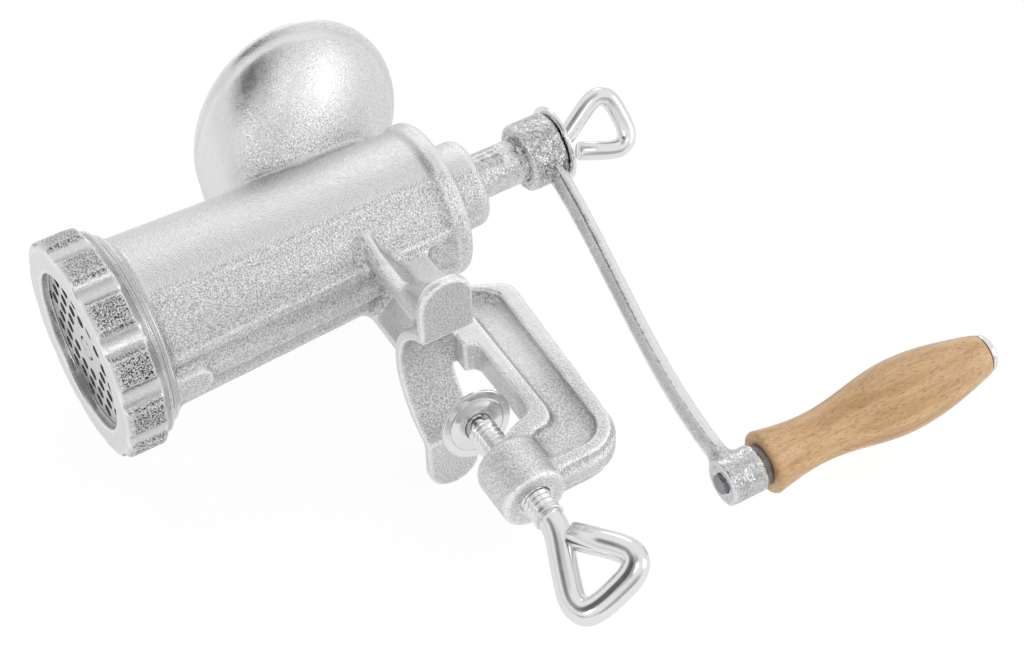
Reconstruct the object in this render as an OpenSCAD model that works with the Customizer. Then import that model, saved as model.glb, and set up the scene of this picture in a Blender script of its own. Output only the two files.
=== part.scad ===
// Clamp-on hand-cranked meat grinder, standing as it does on the edge of a table.
// The origin is on the clamp screw's axis, in the plane of the table top.
// +X is to the side, +Y is towards the crank, +Z is up to the hopper.

/* [Stance] */
// Height of the barrel's axis over the table top
axis_height = 79.4; // [76:0.1:84]
// Distance from the clamp screw's axis forward to the ring nut's face
reach = 97.7; // [94:0.1:102]

/* [Barrel] */
// Outer radius of the barrel behind the front collar
barrel_front_r = 31.5; // [31:0.1:33]
// Outer radius of the barrel at its rear end
barrel_rear_r = 27.0; // [26.5:0.1:28.5]
// Distance from the ring nut's face to the rear end of the barrel
barrel_end = 138.4; // [134:0.1:142]
// Thickness of the barrel's rear wall
end_wall = 5.0; // [4:0.1:6]
// Radius of the bore at its front end
bore_front_r = 27.4; // [26.5:0.1:27.8]
// Radius of the bore at its rear end
bore_rear_r = 23.4; // [22.5:0.1:23.8]
// Depth of the straight grooves in the bore
rifle_depth = 1.1; // [0.6:0.1:1.5]
// Radius of the front collar
collar_r = 34.3; // [34:0.1:35]
// Width of the front collar
collar_w = 3.2; // [2.5:0.1:4]
// Radius of the screw thread for the ring nut
thread_r = 33.2; // [32.8:0.1:33.6]
// How far the upper jacket stands out of the barrel
jacket_step = 0.8; // [0.5:0.1:1.2]
// Radius of the raised ring round the rear end
end_ring_r = 28.6; // [28:0.1:29.5]
// Width of the raised ring round the rear end
end_ring_w = 6.5; // [6:0.1:9]
// Radius of the rear bearing boss
boss_r = 16.1; // [15:0.1:17]
// Length of the rear bearing boss
boss_len = 14.3; // [12:0.1:16]
// Width of the two long beads under the barrel
bead_w = 3.2; // [2.5:0.1:4]
// Width of the flat keel under the barrel
keel_w = 6.0; // [5:0.1:7]
// Width of the lug behind the collar
lug_w = 10.4; // [9:0.1:12]
// Length of the lug behind the collar
lug_len = 13.0; // [11:0.1:15]

/* [Hopper] */
// Half length of the hopper's rim across the grinder
rim_a = 50.4; // [48:0.1:52]
// Half length of the hopper's rim along the grinder
rim_b = 39.3; // [37:0.1:41]
// Height of the rim's middle over the barrel's axis
rim_height = 56.8; // [54:0.1:60]
// Distance from the ring nut's face to the rim's middle
rim_place = 112.8; // [110:0.1:116]
// Slope of the rim, its front edge being the higher one
rim_slope = 4.6; // [0:0.1:8]
// Half width of the hopper's neck across the grinder
neck_a = 22.0; // [20:0.1:24]
// Half width of the hopper's neck along the grinder
neck_b = 20.0; // [18:0.1:22]
// Distance from the ring nut's face to the neck's middle
neck_place = 96.3; // [94:0.1:99]
// Height over the barrel's axis at which the neck ends
neck_low = 22.0; // [20:0.1:23]
// Wall of the hopper
hopper_wall = 3.2; // [2.5:0.1:4]
// Wall of the rolled rim
rim_wall = 4.4; // [3.8:0.1:5]

/* [Ring nut] */
// Radius over the nut's lobes
nut_r = 39.7; // [39:0.1:41]
// Length of the lobed part of the nut
nut_lobed_len = 14.5; // [13:0.1:16]
// Whole length of the nut
nut_len = 17.6; // [17:0.1:18]
// Radius of the plain ring behind the lobes
nut_ring_r = 37.6; // [37:0.1:38.4]
// Number of lobes
nut_lobes = 12; // [10:1:14]
// Depth of the hollows between the lobes
nut_scallop = 2.6; // [1.5:0.1:3]
// Radius of the hollows between the lobes
nut_scallop_r = 8.0; // [6:0.5:9]
// Radius of the opening in the nut's face
nut_mouth_r = 28.5; // [27.5:0.1:29]
// Thickness of the nut's face
nut_lip = 3.3; // [2.5:0.1:4]

/* [Perforated plate] */
// Radius of the plate
plate_r = 31.0; // [30.5:0.1:31.2]
// Thickness of the plate
plate_t = 5.0; // [4:0.1:6]
// Radius of the mincing holes
mince_r = 2.25; // [1.8:0.05:2.4]
// Distance between the mincing holes
mince_pitch = 6.8; // [6.6:0.1:7]
// Radius of the hole in the plate's middle
plate_bore_r = 4.6; // [4.4:0.1:5]
// Width of the notch in the plate's edge
notch_w = 4.2; // [4:0.1:5]
// Radius of the key pin that holds the notch
key_r = 1.9; // [1.5:0.1:1.9]
// Turn of the holes' pattern against the notch
mince_turn = 22; // [0:1:30]

/* [Worm and knife] */
// Radius of the worm's shaft in the rear boss
shaft_r = 8.3; // [8:0.1:8.8]
// Radius of the worm's core at its front end
core_front_r = 10.5; // [10:0.1:13]
// Radius of the worm's core at its rear end
core_rear_r = 9.5; // [9:0.1:12]
// Turns of the worm's flight
flight_turns = 3.25; // [2.5:0.25:3.5]
// Thickness of the flight at its edge
flight_t = 4.0; // [3:0.1:5]
// Length of the knife along the axis
knife_t = 7.0; // [6:0.1:8]
// Radius swept by the knife
knife_r = 27.0; // [25:0.1:28]
// Side of the square stud that turns the knife
square_w = 9.0; // [8.6:0.1:9.4]
// Width of each of the knife's blades
blade_w = 7.5; // [6:0.1:9]
// Half distance between the two flats on the shaft's end
flat_half = 6.6; // [6.2:0.1:7]
// Thickness of the thrust washer
thrust_t = 2.0; // [1.5:0.1:2.5]

/* [Crank] */
// Distance from the ring nut's face to the crank's hub
hub_place = 172.2; // [170:0.1:175]
// Radius of the crank's hub
hub_r = 12.6; // [12:0.1:13.5]
// Length of the crank's hub
hub_len = 14.4; // [13:0.1:16]
// Swing radius of the grip
crank_r = 146.8; // [140:0.1:152]
// Angle of the crank from straight down, towards the viewer's far side
crank_angle = -9.7; // [-20:0.1:20]
// Radius of the boss at the end of the arm
end_boss_r = 8.3; // [7.8:0.1:10]
// Length of the boss at the end of the arm
end_boss_len = 13.8; // [12:0.1:16]
// Distance from the ring nut's face to the end boss
end_boss_place = 163.3; // [158:0.1:166]
// Width of the arm
arm_w = 9.4; // [8:0.1:12]
// Thickness of the arm
arm_t = 7.0; // [6:0.1:8]
// How far the arm's middle bows out of the straight line
arm_bow = 5.0; // [0:0.1:8]
// Distance of the arm's ends beside the line from hub to end boss
arm_side = -1.8; // [-3:0.1:1]

/* [Grip] */
// Length of the wooden grip
grip_len = 91.0; // [80:0.1:96]
// Radius of the grip at its inner end
grip_near_r = 11.3; // [11:0.1:12.5]
// Radius of the grip at its waist
grip_waist_r = 9.0; // [8.8:0.1:10.5]
// Radius of the grip at its swell
grip_swell_r = 13.1; // [12.5:0.1:14.5]
// Radius of the grip at its outer end
grip_far_r = 7.6; // [7:0.1:9]
// Radius of the spindle through the grip
spindle_r = 3.5; // [3:0.1:4]
// Radius of the steel collar between arm and grip
grip_collar_r = 7.2; // [6.5:0.1:8]
// Length of the steel collar between arm and grip
collar_len = 2.2; // [1.8:0.1:3]

/* [Wire screws] */
// Radius of the thumb screw's wire
thumb_wire_r = 3.4; // [3:0.1:3.8]
// Radius of the thumb screw's threaded end
thumb_thread_r = 4.0; // [3.9:0.1:4.5]
// Length of the thumb screw's thread in the shaft
thumb_thread_len = 18.0; // [14:0.1:22]
// Half width of the thumb screw's eye
thumb_eye_half = 10.5; // [9:0.1:12]
// Length of the thumb screw's eye
thumb_eye_len = 25.5; // [23:0.1:28]
// Turn of the thumb screw's eye about its axis
thumb_turn = 40; // [0:5:90]
// Radius of the dished washer
washer_r = 14.2; // [13:0.1:15]
// Radius of the clamp screw's wire
clamp_wire_r = 4.5; // [4:0.1:4.8]
// Radius of the clamp screw's thread
clamp_thread_r = 5.2; // [5:0.1:5.8]
// Height of the pad's face under the table top
pad_drop = 17.0; // [14:0.1:22]
// Radius of the swivel pad
pad_r = 12.8; // [12:0.1:14]
// Tilt of the swivel pad
pad_tilt = 12; // [0:1:13]
// Radius of the clamp screw's turned-down tip
tip_r = 3.2; // [2.8:0.1:3.5]
// Half width of the clamp screw's eye
clamp_eye_half = 12.2; // [11:0.1:13]
// Length of the clamp screw's eye
clamp_eye_len = 36.8; // [34:0.1:40]
// Turn of the clamp screw's eye about its axis
clamp_turn = 60; // [0:5:90]

/* [Clamp] */
// Half length of the upper jaw across the grinder
jaw_half = 50.6; // [49:0.1:54]
// Width of the upper jaw along the grinder
jaw_w = 19.4; // [18:0.1:22]
// Distance of the jaw's middle behind the screw's axis
jaw_shift = 1.1; // [0:0.1:2]
// Thickness of the upper jaw
jaw_t = 3.8; // [3.4:0.1:4.6]
// Half gap between the two seat pads
pad_gap_half = 25.6; // [24:0.1:27]
// Height of the arch between the pads
arch_rise = 17.4; // [16:0.1:19]
// Distance from the screw's axis to the inside of the spine
throat_depth = 15.3; // [14:0.1:17]
// Depth of the throat under the table top
throat_height = 28.5; // [26:0.1:32]
// Half width of the spine across the grinder
spine_half = 7.0; // [6:0.1:7.5]
// Thickness of the inner flange
flange_t = 5.2; // [4.5:0.1:6]
// Thickness of the outer rim
rim_t = 4.2; // [3.5:0.1:5]
// Half thickness of the web between flange and rim
web_half = 2.6; // [2:0.1:3.5]
// Distance from the screw's axis to the spine's back at the top
back_top = 40.4; // [39:0.1:42]
// Distance from the screw's axis to the spine's back at the bottom
back_low = 37.6; // [37:0.1:40]
// Radius of the nut boss
nut_boss_r = 11.5; // [11:0.1:12.5]
// Height of the nut boss
nut_boss_h = 20.5; // [18:0.1:23]
// Depth of the nut boss's lower end under the table top
clamp_low = 55.6; // [55:0.1:58]
// Depth of the frame's lower edge under the table top
clamp_bottom = 54.5; // [53.5:0.1:54.8]

/* [Leg] */
// Half width of the leg
leg_half = 16.6; // [15.5:0.1:17.5]
// Distance of the leg's front before the screw's axis
leg_front = 0.7; // [0:0.1:2]
// Width of each of the leg's two ribs
leg_rib = 4.6; // [4:0.1:6]
// Depth of the hollow between the ribs
leg_depth = 6.4; // [4:0.1:7]
// Half width of the leg's foot on the jaw
flare_half = 40.0; // [36:0.1:42]
// Height at which the leg's foot begins to widen
flare_top = 36.0; // [32:0.1:40]
// Distance of the foot's front behind the screw's axis
flare_front = 2.4; // [1.5:0.1:4]

/* [Hidden] */
$fn = 72;
// Clearance of a round part that turns in its bore
run_gap = 0.06;
// Clearance of a part that slides or turns freely
slide_gap = 0.2;
// Gap between castings' curved faces that meet
seam = 0.02;
// Extra length of a cut past the face it goes through
past = 1;

iron = "gainsboro";
steel = "silver";
wood = "burlywood";

// Places along the barrel's axis, counted from the ring nut's face
plate_front = nut_lip;
barrel_face = nut_lip + 0.7;
plate_back = plate_front + plate_t;
collar_back = nut_len + 0.3 + collar_w;
knife_front = plate_back + 0.1;
knife_back = knife_front + knife_t;
worm_front = knife_back;
chamber_end = barrel_end - end_wall;
boss_end = barrel_end + boss_len;
worm_back = chamber_end - thrust_t - slide_gap;
hub_end = hub_place + hub_len;

// Radius of the barrel's skin and of its bore at a place on the axis
function skin_r(y) = barrel_front_r
    + (barrel_rear_r - barrel_front_r) * (y - collar_back) / (barrel_end - collar_back);
function bore_r(y) = bore_front_r
    + (bore_rear_r - bore_front_r) * (y - knife_back) / (chamber_end - knife_back);

// Points of a circular arc in a plane
function arc(cx, cy, r, a0, a1, n) = [for (i = [0:n]) let (a = a0 + (a1 - a0) * i / n)
    [cx + r * cos(a), cy + r * sin(a)]];

// Puts children, drawn along +Z with +Y up, on the barrel's axis at a place behind the nut's face
module on_axis(y = 0) {
    translate([0, y - reach, axis_height]) rotate([-90, 0, 0]) children();
}

// Revolves a profile of [radius, place] points about the barrel's axis
module turned(points) {
    on_axis() rotate_extrude($fn = 96) polygon(points);
}

// The barrel's outer form without what stands on it
module barrel_skin(grow = 0) {
    turned([[0, barrel_face], [thread_r, barrel_face], [thread_r, nut_len + 0.3],
        [collar_r, nut_len + 0.5], [collar_r, collar_back - 0.6], [collar_r - 0.8, collar_back],
        [barrel_front_r + 0.6 + grow, collar_back + 0.8],
        [skin_r(collar_back + 2) + grow, collar_back + 2],
        [skin_r(barrel_end - end_ring_w - 1) + grow, barrel_end - end_ring_w - 1],
        [end_ring_r + grow, barrel_end - end_ring_w], [end_ring_r + grow, barrel_end - 2.5],
        [end_ring_r - 0.9 + grow, barrel_end - 0.8], [end_ring_r - 2.8, barrel_end],
        [boss_r + 1.2, barrel_end], [boss_r, barrel_end + 1.2], [boss_r, boss_end - 3],
        [boss_r - 0.9, boss_end - 1], [boss_r - 3, boss_end], [0, boss_end]]);
}

// The step that leaves the upper jacket standing: a ring sector cut from each side
module jacket_cut() {
    start = collar_back + 2.5;
    stop = barrel_end - end_ring_w - 1.5;
    for (side = [0, 1]) on_axis() mirror([side, 0, 0]) rotate([0, 0, 32])
        rotate_extrude(angle = 36, $fn = 96) polygon([
            [skin_r(start) - jacket_step, start], [skin_r(start) + 3, start],
            [skin_r(stop) + 3, stop], [skin_r(stop) - jacket_step, stop]]);
}

// A long bead on the skin, at an angle from the barrel's lowest line
module bead(angle, grow = 0) {
    start = collar_back + 0.5;
    stop = barrel_end - end_ring_w;
    slope = atan((skin_r(start) - skin_r(stop)) / (stop - start));
    on_axis(start) rotate([0, 0, angle]) translate([0, skin_r(start), 0]) rotate([slope, 0, 0])
        translate([-bead_w / 2 - grow, -2.4, 0])
            cube([bead_w + 2 * grow, 3.2 + grow, (stop - start) / cos(slope)]);
}

module keel() {
    start = collar_back + 1;
    stop = reach + 2;
    slope = atan((skin_r(start) - skin_r(stop)) / (stop - start));
    on_axis(start) translate([0, skin_r(start), 0]) rotate([slope, 0, 0])
        translate([-keel_w / 2, -2.4, 0]) cube([keel_w, 3.4, (stop - start) / cos(slope)]);
    on_axis(collar_back - 1) translate([-lug_w / 2, barrel_front_r - 3, 0])
        cube([lug_w, collar_r - barrel_front_r + 2.8, lug_len - lug_w / 2 + 1]);
    on_axis(collar_back + lug_len - lug_w / 2) translate([0, barrel_front_r - 3, 0])
        rotate([-90, 0, 0]) cylinder(r = lug_w / 2, h = collar_r - barrel_front_r + 2.8);
}

module barrel() {
    color(iron) difference() {
        union() {
            difference() {
                barrel_skin();
                jacket_cut();
            }
            for (angle = [-19, 19]) bead(angle);
            keel();
        }
        // Recess of the plate, chamber of the knife and tapered bore of the worm
        turned([[0, barrel_face - past], [plate_r + slide_gap, barrel_face - past],
            [plate_r + slide_gap, plate_back], [knife_r + 1.2, plate_back],
            [knife_r + 1.2, knife_back], [bore_front_r, knife_back + 1],
            [bore_rear_r, chamber_end], [0, chamber_end]]);
        on_axis(chamber_end - past) cylinder(r = shaft_r + run_gap, h = end_wall + boss_len + 2 * past);
        // Straight grooves that keep the meat from turning with the worm
        for (i = [0:5]) rifle(60 * i + 30);
        feed_hole(0, rim_height);
        on_axis(barrel_face - past) translate([0, -plate_r, 0])
            cylinder(r = key_r + run_gap, h = plate_back + 4 - barrel_face + past);
    }
}

// One groove, cut by a round bar laid on the slope of the bore
module rifle(angle) {
    start = knife_back + 2;
    stop = chamber_end - 8;
    slope = atan((bore_r(start) - bore_r(stop)) / (stop - start));
    bar = 4;
    on_axis(start) rotate([0, 0, angle]) translate([0, bore_r(start) + rifle_depth - bar, 0])
        rotate([slope, 0, 0]) cylinder(r = bar, h = (stop - start) / cos(slope), $fn = 32);
}

// Oval of half lengths a across and b along the grinder
function oval(a, b, n = 48) = [for (i = [0:n - 1]) [a * cos(360 * i / n), b * sin(360 * i / n)]];

// Upright oval hole from the hopper into the bore, between two heights over the axis
module feed_hole(z0, z1) {
    translate([0, neck_place - reach, axis_height + z0])
        linear_extrude(z1 - z0) polygon(oval(neck_a - 4, neck_b - 1));
}

// One ring of the hopper's surface: part 0 is the rim and part 1 the neck
function bowl_ring(part, wall, n = 48) = let (k = pow(max(part, 0), 1.8),
        a = rim_a + (neck_a - rim_a) * k - wall,
        b = rim_b + (neck_b - rim_b) * k - wall,
        y = rim_place + (neck_place - rim_place) * part - reach,
        z = axis_height + rim_height + (neck_low - rim_height) * part,
        lean = rim_slope * (1 - part))
    [for (i = [0:n - 1]) let (t = 360 * i / n)
        [a * cos(t), y + b * sin(t) * cos(lean), z - b * sin(t) * sin(lean)]];

// A closed solid through a list of rings with the same number of points
module loft(rings) {
    n = len(rings[0]);
    m = len(rings);
    points = [for (r = rings) for (p = r) p];
    sides = [for (j = [0:m - 2]) for (i = [0:n - 1]) let (k = (i + 1) % n)
        each [[j * n + i, j * n + k, (j + 1) * n + i], [j * n + k, (j + 1) * n + k, (j + 1) * n + i]]];
    caps = [[for (i = [0:n - 1]) n - 1 - i], [for (i = [0:n - 1]) (m - 1) * n + i]];
    polyhedron(points, concat(sides, caps));
}

// A ring lowered by a depth
function lowered(ring, depth) = [for (p = ring) p - [0, 0, depth]];

module hopper() {
    steps = 12;
    // Straight end of the neck, cut off by the barrel's skin
    skirt = 8;
    outer = [for (j = [0:steps]) bowl_ring(j / steps, 0)];
    inner = [for (j = [0:steps]) let (s = j / steps) bowl_ring(s, max(hopper_wall, rim_wall - 8 * s))];
    color(iron) difference() {
        loft(concat(outer, [lowered(outer[steps], skirt)]));
        loft(concat([bowl_ring(-0.06, rim_wall)], inner, [lowered(inner[steps], skirt + past)]));
        feed_hole(0, rim_height / 2);
        barrel_skin(seam);
    }
}

// Profile of the upper jaw across the grinder: two flat pads joined by an arch
arch_r = (pow(pad_gap_half, 2) + pow(arch_rise, 2)) / (2 * arch_rise);
arch_mid = arch_rise - arch_r;
crown_r = arch_r + jaw_t;
crown_half = sqrt(crown_r * crown_r - pow(jaw_t - arch_mid, 2));
crown_end = atan2(jaw_t - arch_mid, crown_half);
jaw_back = jaw_shift + jaw_w / 2;
module jaw_profile() {
    round_r = 1.5;
    low = atan2(-arch_mid, pad_gap_half);
    polygon(concat([[-jaw_half, 0], [-pad_gap_half, 0]],
        arc(0, arch_mid, arch_r, 180 - low, low, 24),
        [[pad_gap_half, 0], [jaw_half, 0]],
        arc(jaw_half - round_r, jaw_t - round_r, round_r, 0, 90, 4),
        arc(0, arch_mid, crown_r, crown_end, 180 - crown_end, 24),
        arc(-jaw_half + round_r, jaw_t - round_r, round_r, 90, 180, 4)));
}

module jaw() {
    end_r = jaw_w / 2;
    color(iron) intersection() {
        translate([0, jaw_back, 0]) rotate([90, 0, 0]) linear_extrude(jaw_w) jaw_profile();
        union() {
            translate([-jaw_half + end_r, jaw_shift - end_r, -past])
                cube([2 * (jaw_half - end_r), jaw_w, arch_rise + jaw_t + 2 * past]);
            for (side = [-1, 1]) translate([side * (jaw_half - end_r), jaw_shift, -past])
                cylinder(r = end_r, h = jaw_t + 2 * past);
        }
    }
}

// Leg: a block with two ribs in front, hollowed between them, that flares out to the jaw's shoulders
module leg() {
    leg_side = 4;
    root_low = 46;
    root_out = 5;
    hollow_half = leg_half - leg_rib;
    hollow_r = (hollow_half * hollow_half + leg_depth * leg_depth) / (2 * leg_depth);
    flare_back = jaw_back - 2;
    top = axis_height - barrel_rear_r + 12;
    color(iron) difference() {
        union() {
            linear_extrude(top) polygon([[-leg_half, 1 - leg_front], [-leg_half + 1, -leg_front],
                [leg_half - 1, -leg_front], [leg_half, 1 - leg_front], [leg_half, leg_side],
                [spine_half + 1, jaw_back], [-spine_half - 1, jaw_back], [-leg_half, leg_side]]);
            translate([0, flare_back, 0]) rotate([90, 0, 0]) linear_extrude(flare_back - flare_front)
                polygon([[-flare_half, 0], [flare_half, 0], [flare_half, jaw_t + 2],
                    [leg_half - 2, flare_top], [-leg_half + 2, flare_top], [-flare_half, jaw_t + 2]]);
            // Roots that carry the ribs up the barrel's sides
            translate([0, leg_side, 0]) rotate([90, 0, 0]) linear_extrude(leg_side + leg_front - 1)
                polygon([[-leg_half, root_low], [leg_half, root_low], [leg_half + root_out, top],
                    [-leg_half - root_out, top]]);
        }
        translate([0, leg_depth - leg_front - hollow_r, arch_rise])
            cylinder(r = hollow_r, h = axis_height);
        barrel_skin(seam);
        for (angle = [-19, 19]) bead(angle, seam);
        // Everything under the jaw's upper side
        translate([0, jaw_half, 0]) rotate([90, 0, 0]) linear_extrude(2 * jaw_half) polygon(concat(
            [[jaw_half, -past], [jaw_half, jaw_t]],
            arc(0, arch_mid, crown_r, crown_end, 180 - crown_end, 24),
            [[-jaw_half, jaw_t], [-jaw_half, -past]]));
    }
}

// Distance from the screw's axis to the back of the frame's root under the barrel
root_back = 23;
// Side outline of the clamp frame in the plane along the grinder, drawn in by inset at its back
module frame_outline(inset = 0) {
    corner = 15 - inset;
    inner = 5;
    back = back_top - inset;
    shoulder = 6;
    root = root_back - inset;
    polygon(concat([[jaw_back, 8], [jaw_back, axis_height - 20], [root, axis_height - 20],
            [root, 43], [root + 2.2, 36], [root + 5.5, 32 - inset], [root + 10, 30 - inset]],
        arc(back - shoulder, 28.5 - inset - shoulder, shoulder, 70, 0, 6),
        arc(back_low - inset - corner, -clamp_bottom + inset + corner, corner, 0, -90, 10),
        [[0, -clamp_bottom + inset], [0, -throat_height - 5], [4, -throat_height - 2.5]],
        arc(throat_depth - inner, -throat_height + inner, inner, -90, 0, 8),
        [[throat_depth, 5], [throat_depth - 1, 7.5]]));
}

// Recess between the inner flange and the outer rim
module frame_recess() {
    corner = 9;
    inner = 6;
    flange = throat_depth + flange_t;
    floor_z = -throat_height - flange_t;
    polygon(concat([[flange, 18], [flange - 5, 27], [root_back + 1, 30], [root_back + 7, 25.5]],
        arc(back_top - rim_t - 3.5 - 3, 21, 3, 60, 0, 4),
        arc(back_low - rim_t - 2 - corner, -clamp_bottom + rim_t + 2 + corner, corner, 0, -90, 8),
        [[nut_boss_r - 2, -clamp_bottom + rim_t + 2], [nut_boss_r - 2, floor_z - 1.5]],
        arc(flange - inner, floor_z - 1.5 + inner, inner, -90, 0, 6)));
}

module clamp_frame() {
    color(iron) difference() {
        union() {
            difference() {
                union() {
                    translate([-spine_half, 0, 0]) rotate([90, 0, 90])
                        linear_extrude(2 * spine_half) frame_outline(1.6);
                    translate([-spine_half / 2, 0, 0]) rotate([90, 0, 90])
                        linear_extrude(spine_half) frame_outline();
                }
                for (side = [0, 1]) mirror([side, 0, 0]) translate([web_half, 0, 0])
                    rotate([90, 0, 90]) linear_extrude(spine_half) frame_recess();
            }
            translate([0, 0, -clamp_low]) rotate_extrude() polygon(concat([[0, 0], [nut_boss_r - 0.8, 0],
                [nut_boss_r, 0.8]], arc(nut_boss_r - 4, nut_boss_h - 4, 4, 0, 80, 6), [[0, nut_boss_h]]));
        }
        translate([0, 0, -clamp_low - past])
            cylinder(r = clamp_thread_r + run_gap, h = clamp_low - throat_height + 2 * past);
        barrel_skin(seam);
    }
}

// Key that keeps the plate from turning
module plate_key() {
    color(steel) on_axis(barrel_face) translate([0, -plate_r, 0])
        cylinder(r = key_r, h = plate_back + 4 - barrel_face);
}

module thrust_washer() {
    color("saddlebrown") turned([[shaft_r + run_gap, chamber_end - thrust_t],
        [core_rear_r + 5, chamber_end - thrust_t], [core_rear_r + 5, chamber_end],
        [shaft_r + run_gap, chamber_end]]);
}

// Flight of the worm: a tapering ribbon wound round the core, its pitch closing up to the front
module flight() {
    steps = 24;
    n = round(flight_turns * steps);
    start = worm_front + flight_t / 2 + 1.3;
    stop = worm_back - 5;
    rings = [for (i = [0:n]) let (u = i / n, a = 360 * flight_turns * u,
            y = start + (stop - start) * (0.72 * u + 0.28 * u * u),
            root = core_front_r + (core_rear_r - core_front_r) * u - 1.5,
            tip = bore_r(y) - 0.7,
            half = flight_t / 2)
        [for (q = [[root, -half - 1.2], [tip, -half], [tip, half], [root, half + 1.2]])
            [q[0] * cos(a), q[0] * sin(a), y + q[1]]]];
    on_axis() loft(rings);
}

// Pin of the knife's stud in the worm's front end
stud_pin_r = 3;
stud_pin_len = 11;
module worm() {
    flat_out = 8;
    color(iron) difference() {
        union() {
            turned([[0, worm_front], [core_front_r + 2, worm_front], [core_front_r + 2, worm_front + 3],
                [core_front_r, worm_front + 5], [core_rear_r, worm_back - 6],
                [core_rear_r + 4, worm_back - 3], [core_rear_r + 4, worm_back],
                [shaft_r, worm_back], [shaft_r, hub_end - 1.5], [0, hub_end - 1.5]]);
            flight();
        }
        // Two flats that turn the crank's hub and show in front of it
        for (side = [0, 1]) on_axis(hub_place - flat_out) mirror([side, 0, 0])
            translate([flat_half, -shaft_r - past, 0])
                cube([shaft_r, 2 * (shaft_r + past), hub_len + flat_out + past]);
        on_axis(hub_end - thumb_thread_len - past)
            cylinder(r = thumb_thread_r + run_gap, h = thumb_thread_len + 2 * past);
        on_axis(worm_front - past) cylinder(r = stud_pin_r, h = stud_pin_len + 2 * past);
    }
}

module knife_stud() {
    dome = 1.2;
    color(steel) {
        on_axis(knife_front) translate([-square_w / 2, -square_w / 2, 0])
            cube([square_w, square_w, knife_t]);
        turned([[0, plate_front - 0.4], [plate_bore_r - 1.4, plate_front - 0.2],
            [plate_bore_r - 0.3, plate_front + dome], [plate_bore_r - 0.3, knife_front], [0, knife_front]]);
        on_axis(worm_front) cylinder(r = stud_pin_r - run_gap, h = stud_pin_len);
    }
}

// Four swept blades round a square-holed hub
module knife() {
    hub = 9.5;
    color(steel) difference() {
        union() {
            on_axis(knife_front) cylinder(r = hub, h = knife_t);
            for (i = [0:3]) on_axis(knife_front) rotate([0, 0, 90 * i]) linear_extrude(knife_t * 0.75)
                polygon(concat([[hub - 3, -3]], [[knife_r - 4, -1], [knife_r, 1.5]],
                    [[knife_r - 0.5, 2 + blade_w * 0.6], [hub - 3, blade_w - 1]]));
        }
        on_axis(knife_front - past) translate([-square_w / 2 - 0.1, -square_w / 2 - 0.1, 0])
            cube([square_w + 0.2, square_w + 0.2, knife_t + 2 * past]);
    }
}

// Centres of the mincing holes: a six-sided lattice without its middle and its far corners
function mince_centres() = [for (i = [-4:4]) for (j = [-4:4])
    let (x = mince_pitch * (i + j / 2), z = mince_pitch * j * sqrt(3) / 2, d = norm([x, z]))
    if (d > mince_pitch * 1.2 && d < mince_pitch * 3.7) [x, z]];

module plate() {
    color(steel) on_axis(plate_front) difference() {
        cylinder(r = plate_r, h = plate_t);
        translate([0, 0, -past]) cylinder(r = plate_bore_r, h = plate_t + 2 * past);
        rotate([0, 0, mince_turn]) for (c = mince_centres()) translate([c[0], c[1], -past])
            cylinder(r = mince_r, h = plate_t + 2 * past, $fn = 24);
        translate([-notch_w / 2, -plate_r - past, -past]) cube([notch_w, 3 + past, plate_t + 2 * past]);
    }
}

module ring_nut() {
    color(iron) difference() {
        intersection() {
            union() {
                difference() {
                    on_axis() cylinder(r = nut_r, h = nut_lobed_len, $fn = 120);
                    for (i = [0:nut_lobes - 1]) on_axis(-past) rotate([0, 0, 360 * (i + 0.5) / nut_lobes])
                        translate([nut_r + nut_scallop_r - nut_scallop, 0, 0])
                        cylinder(r = nut_scallop_r, h = nut_lobed_len + 2 * past, $fn = 32);
                }
                on_axis() cylinder(r = nut_ring_r - 0.6, h = nut_len);
            }
            turned([[0, 0], [nut_r - 2.4, 0], [nut_r - 0.8, 0.7], [nut_r + 1, 2.4],
                [nut_r + 1, nut_lobed_len - 1.5], [nut_ring_r, nut_lobed_len + 0.6],
                [nut_ring_r, nut_len - 0.8], [nut_ring_r - 0.8, nut_len], [0, nut_len]]);
        }
        turned([[0, -past], [nut_mouth_r + 0.5, -past], [nut_mouth_r, 0.5], [nut_mouth_r, nut_lip],
            [thread_r + run_gap, nut_lip], [thread_r + run_gap, nut_len + past], [0, nut_len + past]]);
    }
}

// Puts children, drawn with the hub at the origin and the arm along +Z, at the crank's place
module on_crank(y) {
    translate([0, y - reach, axis_height]) rotate([0, 180 - crank_angle, 0]) children();
}

// The arm's ridged section, swept from the hub to the end boss on a shallow S
module arm() {
    steps = 16;
    arm_waist = 0.2;
    y0 = hub_place + hub_len * 0.6;
    y1 = end_boss_place + end_boss_len * 0.34;
    rings = [for (i = [0:steps]) let (u = i / steps,
            z = hub_r - 3 + (crank_r - hub_r - end_boss_r + 6) * u,
            ease = u * u * (3 - 2 * u),
            y = y0 + (y1 - y0) * ease,
            x = arm_bow * sin(180 * u) + arm_side,
            w = arm_w / 2 * (1 - arm_waist * sin(180 * u)),
            t = arm_t / 2)
        [for (q = [[-1, 0.35], [-0.6, 0.8], [0.6, 0.8], [1, 0.35], [1, -0.35], [0.5, -0.8], [0, -1.15],
                [-0.5, -0.8], [-1, -0.35]])
            [x + q[0] * w, y - reach + q[1] * t, z]]];
    translate([0, 0, axis_height]) rotate([0, 180 - crank_angle, 0]) loft(rings);
}

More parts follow.
